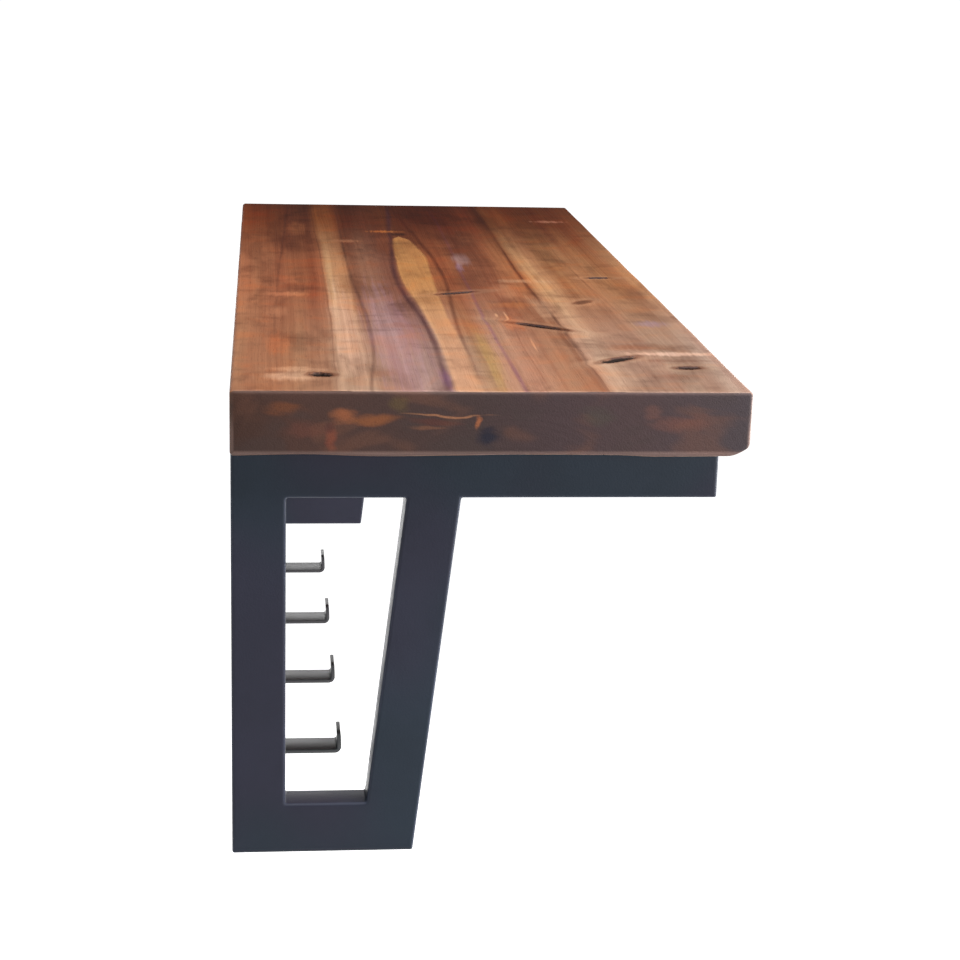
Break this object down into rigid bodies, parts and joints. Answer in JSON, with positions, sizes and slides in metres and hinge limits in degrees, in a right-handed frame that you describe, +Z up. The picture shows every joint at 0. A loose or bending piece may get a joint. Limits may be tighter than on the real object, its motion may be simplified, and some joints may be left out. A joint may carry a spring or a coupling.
{
  "type": "wall-mounted entryway bench",
  "caption": "Thick wood seat slab on two welded tube brackets fixed to a wall, with a low rail of bent flat-bar coat hooks between the brackets.",
  "frame": {"origin": "middle of the hook rail's back face, on the wall plane", "axes": "+X along the seat towards its right end as seen from the room, +Y into the wall, +Z up"},
  "size_m": [0.9144, 0.3556, 0.3493],
  "materials": {
    "seat_wood": "oiled, planed plank with dark knots and pale sapwood streaks",
    "frame_steel": "dark blue-grey satin powder coat",
    "hook_steel": "dark blue-grey satin powder coat",
    "screw_steel": "black oxide screws and washers"
  },
  "bodies": {
    "root": {"seat_slab": "seat_wood", "left_post": "frame_steel", "left_arm": "frame_steel", "left_brace": "frame_steel", "left_foot": "frame_steel", "left_post_end_plate": "frame_steel", "left_arm_end_plate": "frame_steel", "left_brace_end_plate": "frame_steel", "left_seat_screw_1": "screw_steel", "left_seat_washer_1": "screw_steel", "left_seat_screw_2": "screw_steel", "left_seat_washer_2": "screw_steel", "left_seat_screw_3": "screw_steel", "left_seat_washer_3": "screw_steel", "right_post": "frame_steel", "right_arm": "frame_steel", "right_brace": "frame_steel", "right_foot": "frame_steel", "right_post_end_plate": "frame_steel", "right_arm_end_plate": "frame_steel", "right_brace_end_plate": "frame_steel", "right_seat_screw_1": "screw_steel", "right_seat_washer_1": "screw_steel", "right_seat_screw_2": "screw_steel", "right_seat_washer_2": "screw_steel", "right_seat_screw_3": "screw_steel", "right_seat_washer_3": "screw_steel", "hook_rail": "frame_steel", "hook_1": "hook_steel", "hook_1_lower_screw": "screw_steel", "hook_1_upper_screw": "screw_steel", "hook_2": "hook_steel", "hook_2_lower_screw": "screw_steel", "hook_2_upper_screw": "screw_steel", "hook_3": "hook_steel", "hook_3_lower_screw": "screw_steel", "hook_3_upper_screw": "screw_steel", "hook_4": "hook_steel", "hook_4_lower_screw": "screw_steel", "hook_4_upper_screw": "screw_steel"}
  },
  "joints": []
}
